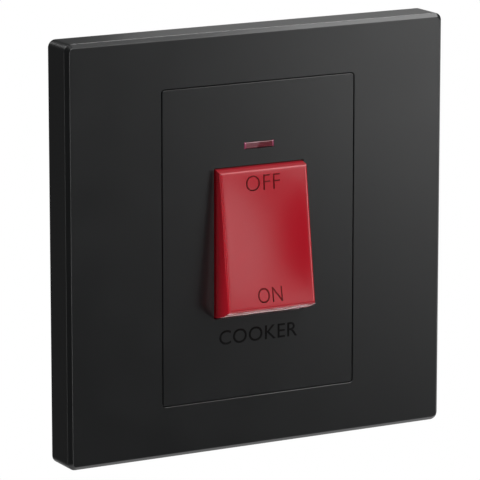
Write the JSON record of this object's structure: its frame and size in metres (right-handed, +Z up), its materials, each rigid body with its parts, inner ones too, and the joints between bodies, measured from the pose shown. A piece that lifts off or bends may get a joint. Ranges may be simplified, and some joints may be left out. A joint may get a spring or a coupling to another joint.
{
  "type": "cooker switch",
  "caption": "Square black wall plate with a clip-on cover frame, a red double-pole rocker switch for a cooker circuit and an indicator lamp.",
  "frame": {"origin": "midway between the two fixing slots, on the back face of the mounting frame, in the wall plane", "axes": "+X to the right as seen from the front, +Y into the wall, +Z up"},
  "size_m": [0.086, 0.037, 0.086],
  "materials": {
    "black_plastic": "satin",
    "grey_plastic": "matte",
    "pale_plastic": "satin",
    "red_plastic": "gloss",
    "white_plastic": "satin",
    "red_lens": "gloss",
    "lamp_glass": "gloss",
    "resistor_body": "satin",
    "brass": "machined",
    "copper": "stamped",
    "silver": "satin",
    "plated_steel": "zinc plated",
    "spring_steel": "bright",
    "tinned_wire": "bright"
  },
  "bodies": {
    "base": {"cover_frame": "black_plastic", "centre_panel": "black_plastic", "mounting_frame": "grey_plastic", "base_housing": "pale_plastic", "fixed_tip_live": "silver", "fixed_tip_neutral": "silver", "supply_strip_live": "copper", "supply_strip_neutral": "copper", "load_strip_live": "copper", "load_strip_neutral": "copper", "terminal_live_in": "brass", "terminal_live_out": "brass", "terminal_neutral_in": "brass", "terminal_neutral_out": "brass", "terminal_earth": "brass", "screw_live_in": "plated_steel", "screw_live_out": "plated_steel", "screw_neutral_in": "plated_steel", "screw_neutral_out": "plated_steel", "screw_earth": "plated_steel", "housing_screws": "plated_steel", "indicator_lens": "red_lens", "indicator_lamp": "lamp_glass", "lamp_resistor": "resistor_body", "lamp_lead_live": "tinned_wire", "lamp_lead_link": "tinned_wire", "lamp_lead_neutral": "tinned_wire"},
    "rocker": {"rocker": "red_plastic", "plunger_spring_live": "spring_steel", "plunger_spring_neutral": "spring_steel"},
    "plunger_live": {"plunger_live": "white_plastic"},
    "arm_live": {"contact_arm_live": "copper", "moving_tip_live": "silver"},
    "plunger_neutral": {"plunger_neutral": "white_plastic"},
    "arm_neutral": {"contact_arm_neutral": "copper", "moving_tip_neutral": "silver"}
  },
  "joints": [
    {"name": "rocker_tilt", "type": "hinge", "parent": "base", "child": "rocker", "pos_m": [0, -0.0056, 0], "axis": [1, 0, 0], "range_deg": [0, 15.4]},
    {"name": "plunger_live_slide", "type": "slide", "parent": "rocker", "child": "plunger_live", "axis": [0, -0.991, 0.134], "range_m": [0, 0.001], "stiffness_N_per_m": 500, "springref_m": -0.004, "deforming": ["plunger_spring_live"]},
    {"name": "arm_live_swing", "type": "hinge", "parent": "base", "child": "arm_live", "pos_m": [-0.005, 0.014, 0], "axis": [1, 0, 0], "range_deg": [-16, 0]},
    {"name": "plunger_neutral_slide", "type": "slide", "parent": "rocker", "child": "plunger_neutral", "axis": [0, -0.991, 0.134], "range_m": [0, 0.001], "stiffness_N_per_m": 500, "springref_m": -0.004, "deforming": ["plunger_spring_neutral"]},
    {"name": "arm_neutral_swing", "type": "hinge", "parent": "base", "child": "arm_neutral", "pos_m": [0.005, 0.014, 0], "axis": [1, 0, 0], "range_deg": [-16, 0]}
  ],
  "couplings": [
    {"joint": "arm_live_swing", "follows": "rocker_tilt", "ratio": -1.039},
    {"joint": "arm_neutral_swing", "follows": "rocker_tilt", "ratio": -1.039}
  ]
}
